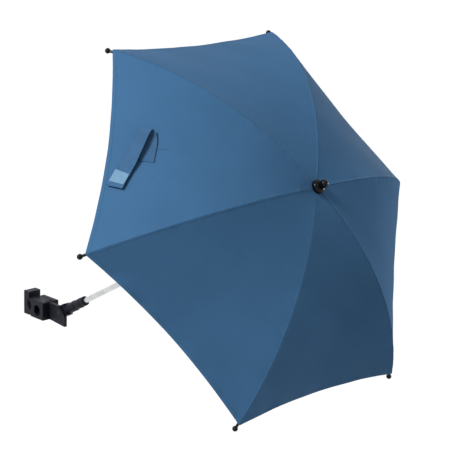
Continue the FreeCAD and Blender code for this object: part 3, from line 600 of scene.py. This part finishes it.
def moulded_material(name, base, rough_low, rough_high, grain, wear, specular=0.12):
    """Moulded plastic with a fine grain, faint flow marks and edges rubbed a little brighter."""
    made, tree, shader = new_material(name)
    place = object_place(tree)
    fine = noise(tree, place, PLASTIC_FINE, 2.0)
    flow = noise(tree, stretched(tree, place, FLOW_STRETCH), 1.0, 4.0)
    scuff = noise(tree, stretched(tree, place, SCUFF_STRETCH), 1.0, 3.0)
    edges, rounded = edge_wear(tree, PLASTIC_EDGE)
    colour = mixed(tree, spread(tree, flow, *MOST_NOISE, 0.0, 1.0), shaded(base, 0.82), shaded(base, 1.18))
    rubbed = calc(tree, "MULTIPLY", edges, spread(tree, scuff, 0.35, 0.7, 0.2 * wear, wear))
    colour = mixed(tree, rubbed, colour, tuple(min(1.0, c + 0.06) for c in base[:3]) + (1.0,))
    roughness = spread(tree, flow, *WIDE_NOISE, rough_low, rough_high)
    connect(tree, shader, colour, roughness, bump(tree, fine, grain, 0.6, rounded))
    shader.inputs["Specular IOR Level"].default_value = specular
    return made


def metal_material(name, base, rough_low, rough_high, brush):
    """Drawn or pressed metal, brushed along one direction, with faint stains."""
    made, tree, shader = new_material(name)
    place = object_place(tree)
    lines = noise(tree, stretched(tree, place, brush), 1.0, 3.0)
    stains = noise(tree, place, METAL_STAINS, 5.0)
    edges, rounded = edge_wear(tree, METAL_EDGE)
    colour = mixed(tree, spread(tree, stains, 0.3, 0.75, 0.0, 1.0), base, shaded(base, 0.8))
    colour = mixed(tree, calc(tree, "MULTIPLY", edges, 0.4), colour, shaded(base, 1.2))
    roughness = spread(tree, lines, *WIDE_NOISE, rough_low, rough_high)
    connect(tree, shader, colour, roughness, bump(tree, lines, BRUSH_RELIEF, 0.5, rounded))
    shader.inputs["Metallic"].default_value = 1.0
    return made


def rubber_material(name, base):
    made, tree, shader = new_material(name)
    place = object_place(tree)
    grain = noise(tree, place, RUBBER_FINE, 4.0)
    dust = noise(tree, place, RUBBER_DUST, 4.0)
    colour = mixed(tree, spread(tree, dust, 0.45, 0.8, 0.0, 0.5), base, shaded(base, 1.5))
    roughness = spread(tree, dust, *MOST_NOISE, 0.7, 0.9)
    connect(tree, shader, colour, roughness, bump(tree, grain, RUBBER_RELIEF, 0.7))
    shader.inputs["Specular IOR Level"].default_value = 0.12
    return made


# Canopy: one surface, cut into rings along each rib
def cross_lines(radius):
    """Places across one side of a rib: close together at the seam, then even to the middle of the gore."""
    near = np.array(SEAM_LINES) * MM
    scale = np.clip(radius / SEAM_LINES_FULL, 0.0, 1.0)[:, None]
    near_share = near[None, :] * scale / radius[:, None]
    last = near_share[:, -1:]
    far = last + (0.5 - last) * np.linspace(0, 1, GORE_LINES)[None, 1:]
    return np.concatenate((near_share, far), 1)


def canopy_rows():
    """Shares of the way from the centre to the hem, closer together at the hem."""
    return np.concatenate((np.linspace(0.0, BODY_SHARE, BODY_ROWS), HEM_ROWS))


def ring_rows(shares):
    """First and last row of each ring of cloth."""
    starts = [(ring[0] * MM - CLOTH_HOLE) / (TIP_RADIUS - CLOTH_HOLE) for ring in RINGS]
    rows = [int(np.argmin(np.abs(shares - start))) for start in starts]
    return list(zip(rows, rows[1:] + [len(shares) - 1]))


def rib_axes(index):
    """The directions out along a rib and across it, in the shared frame."""
    angle = rib_angle(index)
    cosine, sine = math.cos(angle), math.sin(angle)
    return np.array((cosine, sine, 0.0)), np.array((-sine, cosine, 0.0))


class Gores:
    """The cloth held by one rib, as a grid of points with what the sheets need at each."""

    def __init__(self, index, shares):
        side = cross_lines(CLOTH_HOLE + (TIP_RADIUS - CLOTH_HOLE) * shares)
        cross = np.concatenate((-side[:, :0:-1], side), 1)
        radius = CLOTH_HOLE + (hem_radius(cross) - CLOTH_HOLE) * shares[:, None]

        def place(r, c):
            return sewn_cloth(r, c, index)

        self.index = index
        self.number = str(index + 1)
        self.radius = radius
        self.middle = cross.shape[1] // 2
        self.points = to_frame(place(radius, cross), index)
        self.normals = to_frame(across_both(place, radius, cross), index) - APEX
        bend = np.arcsin(np.clip((radius - BEND_START) / BEND_RADIUS, 0.0, 1.0))
        run = np.minimum(radius, BEND_START) + BEND_RADIUS * bend
        self.marks = {"seam": cross * radius, "hem": hem_radius(cross) - radius, "run": run}
        aside = (0.5 - np.abs(cross)) * radius
        along = run * math.cos(RIB_TURN / 2)
        self.weave = (np.stack((-aside, along), -1), np.stack((aside, along), -1))

    def piece(self, name, part, halves, material):
        """A sheet of part of the grid. halves are the weaves that it needs: 0 left of the rib, 1 right."""
        points = self.points[part]
        weave = [self.weave[half][part] for half in halves]
        marks = {label: values[part] for label, values in self.marks.items()}
        full_name = "canopy_" + self.number + name
        made = sheet_object(full_name, points, CLOTH_THICK, self.normals[part], weave, marks)
        made.data.materials.append(material)
        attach(made, "rib_" + self.number)
        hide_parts("canopy_panel_" + self.number)
        flat = (longest_line(points, 1), longest_line(points, 0))
        return made

    def gather(self, piece, ring, rows, side):
        """Gives a piece a mesh of its own. side is -1 or 1."""
        row, column = sum(rows) // 2, self.middle + side * BAND_COLUMNS
        width_kept, depth_kept = RINGS[ring][1:]
        out, across = rib_axes(self.index)
        tuple(self.points[row, column])
        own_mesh(piece)


def canopy_pieces(material):
    """All the cloth. Returns the cloth of the last rib, which carries the strap, and its rows."""
    shares = canopy_rows()
    rings = ring_rows(shares)
    for index in range(RIB_COUNT):
        gores = Gores(index, shares)
        across = tuple(rib_axes(index)[1])
        low, high = gores.middle - BAND_COLUMNS, gores.middle + BAND_COLUMNS
        band = (slice(rings[WHOLE_RINGS][0], None), slice(low, high + 1))
        gores.piece("_band", band, (0, 1), material)
        for ring, (first, last) in enumerate(rings):
            rows = slice(first, last + 1)
            name = "_ring_" + str(ring + 1)
            if ring < WHOLE_RINGS:
                piece = gores.piece(name, (rows, slice(None)), (0, 1), material)
                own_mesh(piece)
            else:
                left = gores.piece(name + "_left", (rows, slice(0, low + 1)), (0,), material)
                right = gores.piece(name + "_right", (rows, slice(high, None)), (1,), material)
                gores.gather(left, ring, (first, last), -1)
                gores.gather(right, ring, (first, last), 1)
    return gores, rings


# Strap on the gore between the last rib and the first
def on_gore(radius, share, height):
    """A point over that gore. share runs from the last rib, 0, to the first, 1."""
    last = RIB_COUNT - 1
    if share <= 0.5:
        index, cross = last, -share
    else:
        index, cross = 0, 1 - share

    def place(r, c):
        return sewn_cloth(r, c, index)

    r, c = np.array(radius * MM), np.array(cross)
    spot = place(r, c) + across_both(place, r, c) * height
    return to_frame(spot, index)


def spline_through(points, steps):
    """A smooth line through points, with a number of steps between each two."""
    points = np.asarray(points)
    padded = np.concatenate((2 * points[:1] - points[1:2], points, 2 * points[-1:] - points[-2:-1]))
    line = []
    for k in range(len(points) - 1):
        a, b, c, d = padded[k:k + 4]
        for s in range(steps):
            t = s / steps
            line.append(0.5 * (2 * b + (c - a) * t + (2 * a - 5 * b + 4 * c - d) * t ** 2
                               + (3 * b - a - 3 * c + d) * t ** 3))
    line.append(points[-1])
    return np.array(line)


def strap_edges():
    left, right = [], []
    for left_run, left_share, right_run, right_share, height in STRAP_STATIONS:
        left.append(on_gore(left_run, left_share, height * MM))
        right.append(on_gore(right_run, right_share, height * MM))
    return spline_through(left, STRAP_STEPS), spline_through(right, STRAP_STEPS)


def ribbon(name, left, right, thickness, lift=0.0):
    """A tape between two edge lines, thinner at its edges. lift raises it along its own normal."""
    share = np.linspace(0, 1, STRAP_COLUMNS)
    grid = left[:, None, :] * (1 - share)[None, :, None] + right[:, None, :] * share[None, :, None]
    along = np.gradient(grid, axis=0)
    over = np.gradient(grid, axis=1)
    normals = np.cross(along, over)
    normals /= np.linalg.norm(normals, axis=-1, keepdims=True)
    width = np.linalg.norm(right - left, axis=1)
    from_edge = np.minimum(share, 1 - share)[None, :] * width[:, None]
    step = np.linalg.norm(np.diff(grid[:, STRAP_COLUMNS // 2], axis=0), axis=1)
    run = np.concatenate(((0.0,), np.cumsum(step)))
    edge_fall = EDGE_FALL_SHARE * thickness * (1 - smooth(from_edge, 0.0, EDGE_FALL_WIDTH))
    top = grid + normals * (thickness / 2 + lift - edge_fall)[..., None]
    weave = np.stack(np.broadcast_arrays((share - 0.5)[None, :] * width[:, None], run[:, None]), -1)
    ends = np.minimum(run, run[-1] - run)[:, None]
    marks = {"border": np.minimum(from_edge, ends)}
    return sheet_object(name, top, thickness, normals, (weave,), marks)


def strap_pieces(gores, rings, strap_material, tab_material, stitch_material):
    """The strap, the patch on it and the stitches at its foot, held by the cloth beside the last rib."""
    left, right = strap_edges()
    strap = ribbon("closing_strap_tape", left, right, STRAP_THICK)
    first, last = round(TAB_FROM * STRAP_STEPS), round(TAB_TO * STRAP_STEPS)
    tab_left = left + (right - left) * TAB_INSET_SHARE
    tab_right = right + (left - right) * TAB_INSET_SHARE
    sign = tab_lift_sign(left, right, first)
    rows = slice(first, last + 1)
    lift = sign * (STRAP_THICK / 2 + TAB_THICK / 2 + TAB_GAP)
    tab = ribbon("strap_tab_patch", tab_left[rows], tab_right[rows], TAB_THICK, lift)
    stitches = stitch_piece()
    body = "rib_" + gores.number
    for piece, material in ((strap, strap_material), (tab, tab_material), (stitches, stitch_material)):
        piece.data.materials.append(material)
        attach(piece, body)
    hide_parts("closing_strap")
    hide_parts("strap_tab")
    middle = (left + right) / 2
    tab_length = float(np.linalg.norm(np.diff(middle[rows], axis=0), axis=1).sum())
    for piece in (strap, tab, stitches):
        gores.gather(piece, STRAP_RING - 1, rings[STRAP_RING - 1], -1)


def tab_lift_sign(left, right, row):
    """1 where the tape's own normal points out of the cloth, else -1."""
    along = left[row + 1] - left[row]
    over = right[row] - left[row]
    outward = (left[row] + right[row]) / 2 - APEX
    return 1.0 if np.dot(np.cross(along, over), outward) > 0 else -1.0


def stitch_mesh(start, end, outward):
    """One stitch: a short thread that dips at both ends."""
    along = end - start
    side = np.cross(along, outward)
    side /= np.linalg.norm(side)
    up = outward / np.linalg.norm(outward)
    points, faces = [], []
    corners = STITCH_CORNERS
    for t in STITCH_RINGS:
        swell = math.sin(math.pi * (STITCH_DIP + STITCH_ARCH * t))
        centre = start + along * t + up * (swell - STITCH_SINK) * STITCH_RADIUS
        for k in range(corners):
            turn = 2 * math.pi * k / corners
            points.append(centre + STITCH_RADIUS * swell * (side * math.cos(turn) + up * math.sin(turn)))
    for r in range(len(STITCH_RINGS) - 1):
        for k in range(corners):
            a = r * corners + k
            b = r * corners + (k + 1) % corners
            faces.append((a, b, b + corners, a + corners))
    faces.append(tuple(reversed(range(corners))))
    faces.append(tuple((len(STITCH_RINGS) - 1) * corners + k for k in range(corners)))
    return points, faces


def stitch_row(first, last):
    """Stitches between two places on the gore, given as distance from the shaft and share across it."""
    reach = np.linalg.norm(on_gore(*first, 0.0) - on_gore(*last, 0.0))
    count = max(1, round(reach / STITCH_LENGTH))
    for k in range(count):
        a = first + (last - first) * (k + STITCH_FROM) / count
        b = first + (last - first) * (k + STITCH_TO) / count
        foot = on_gore(*a, 0.0)
        yield foot, on_gore(*b, 0.0), on_gore(*a, MM) - foot


def stitch_piece():
    """The bar of stitches beside the strap, which holds its foot to the cloth."""
    points, faces = [], []
    for share in TACK_ROWS:
        shift = share * np.array(TACK_ROW_GAP)
        for start, end, outward in stitch_row(np.array(TACK_FROM) + shift, np.array(TACK_TO) + shift):
            made, around = stitch_mesh(start, end, outward)
            faces += [tuple(len(points) + k for k in face) for face in around]
            points += made
    return mesh_object("strap_bar_stitches", points, faces)


# Materials of the solids that are shown as they are
def dress_solids():
    black = moulded_material("black_plastic", linear(*BLACK_PLASTIC), 0.36, 0.5, PLASTIC_GRAIN, 0.5)
    grey = moulded_material("grey_nylon", linear(*GREY_NYLON), 0.45, 0.6, NYLON_GRAIN, 0.5)
    gloss = moulded_material("gloss_black", linear(*GLOSS_BLACK), 0.12, 0.18, GLOSS_GRAIN, 0.2, specular=0.15)
    dark_steel = metal_material("dark_steel", linear(*DARK_STEEL), 0.35, 0.5, TURNED_BRUSH)
    rib_steel = metal_material("rib_steel", linear(*RIB_STEEL), 0.28, 0.45, EVEN_BRUSH)
    fastener = metal_material("fastener_steel", linear(*FASTENER_STEEL), 0.2, 0.36, TURNED_BRUSH)
    tube = metal_material("tube_metal", linear(*TUBE_METAL), 0.18, 0.3, TUBE_BRUSH)
    rubber = rubber_material("pad_rubber", linear(*PAD_RUBBER))
    chosen = {
        "clamp_body": black, "clamp_jaw": black, "ferrule": black, "thumb_nut": black,
        "body_pad": rubber, "jaw_pad": rubber,
        "friction_washers": grey, "crown": grey, "runner": grey, "runner_catch": fastener,
        "tilt_bolt": dark_steel, "tilt_nut": dark_steel, "ferrule_pin": dark_steel, "crown_wire": fastener,
        "crown_pin": fastener, "top_washer": black, "jaw_spindle": fastener,
        "shaft_tube": tube, "finial": gloss,
    }
    repeated = {"rib": rib_steel, "rib_rivet": fastener, "rib_tip": gloss, "stretcher": rib_steel}
    for base, material in repeated.items():
        for number in range(1, RIB_COUNT + 1):
            chosen[base + "_" + str(number)] = material
    for name, material in chosen.items():
        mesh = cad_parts[name].data
        mesh.materials.clear()
        mesh.materials.append(material)


# Room
def seen_directly(tree):
    """1 for rays that show the background itself, straight or in a reflection."""
    path = add(tree, "ShaderNodeLightPath")
    seen = calc(tree, "MAXIMUM", path.outputs["Is Camera Ray"], path.outputs["Is Glossy Ray"])
    return calc(tree, "MAXIMUM", seen, path.outputs["Is Transmission Ray"])


def make_world():
    world = bpy.data.worlds.new("studio")
    world.use_nodes = True
    tree = world.node_tree
    tree.nodes.clear()
    light = add(tree, "ShaderNodeBackground", {"Color": WHITE, "Strength": WORLD_STRENGTH})
    white = add(tree, "ShaderNodeBackground", {"Color": WHITE, "Strength": 1.0})
    choices = {0: seen_directly(tree), 1: light.outputs[0], 2: white.outputs[0]}
    either = add(tree, "ShaderNodeMixShader", choices)
    add(tree, "ShaderNodeOutputWorld", {"Surface": either.outputs[0]})
    scene.world = world


def make_floor():
    corners = ((-1, -1), (1, -1), (1, 1), (-1, 1))
    points = [(x * FLOOR_HALF, y * FLOOR_HALF, FLOOR_HEIGHT) for x, y in corners]
    floor = mesh_object("floor", points, [(0, 1, 2, 3)])
    material = bpy.data.materials.new("floor")
    material.use_nodes = True
    tree = material.node_tree
    tree.nodes.clear()
    pale = add(tree, "ShaderNodeBsdfDiffuse", {"Color": FLOOR_COLOUR})
    strength = calc(tree, "MULTIPLY", seen_directly(tree), FLOOR_GLOW)
    glow = add(tree, "ShaderNodeEmission", {"Strength": strength})
    both = add(tree, "ShaderNodeAddShader", {0: pale.outputs[0], 1: glow.outputs[0]})
    add(tree, "ShaderNodeOutputMaterial", {"Surface": both.outputs[0]})
    floor.data.materials.append(material)


def make_lamps():
    for name, strength, direction in LAMPS:
        lamp = bpy.data.lights.new(name, "SUN")
        lamp.energy = strength
        lamp.angle = LAMP_SPREAD
        made = bpy.data.objects.new(name, lamp)
        made.rotation_mode = "QUATERNION"
        made.rotation_quaternion = Vector(direction).to_track_quat("Z", "Y")
        scene.collection.objects.link(made)


def make_camera():
    lens = bpy.data.cameras.new("camera")
    lens.lens = LENS
    lens.sensor_width = SENSOR_WIDTH
    lens.clip_end = CLIP_END
    camera = bpy.data.objects.new("camera", lens)
    back = -Vector(CAMERA_LOOK).normalized()
    right = Vector(CAMERA_UP).cross(back).normalized()
    up = back.cross(right)
    turn = Matrix((right, up, back)).transposed().to_4x4()
    camera.matrix_world = Matrix.Translation(CAMERA_AT) @ turn
    scene.collection.objects.link(camera)
    scene.camera = camera


scene.view_settings.view_transform = "Standard"
make_world()
make_floor()
make_lamps()
make_camera()
dress_solids()
last_gores, ring_ends = canopy_pieces(canopy_material())
strap_pieces(
    last_gores, ring_ends,
    webbing_material("strap_cloth", linear(*STRAP_BLUE), *STRAP_PITCHES),
    webbing_material("tab_cloth", linear(*TAB_BLUE), *TAB_PITCHES),
    thread_material("stitch_thread", linear(*THREAD_BLUE)),
)
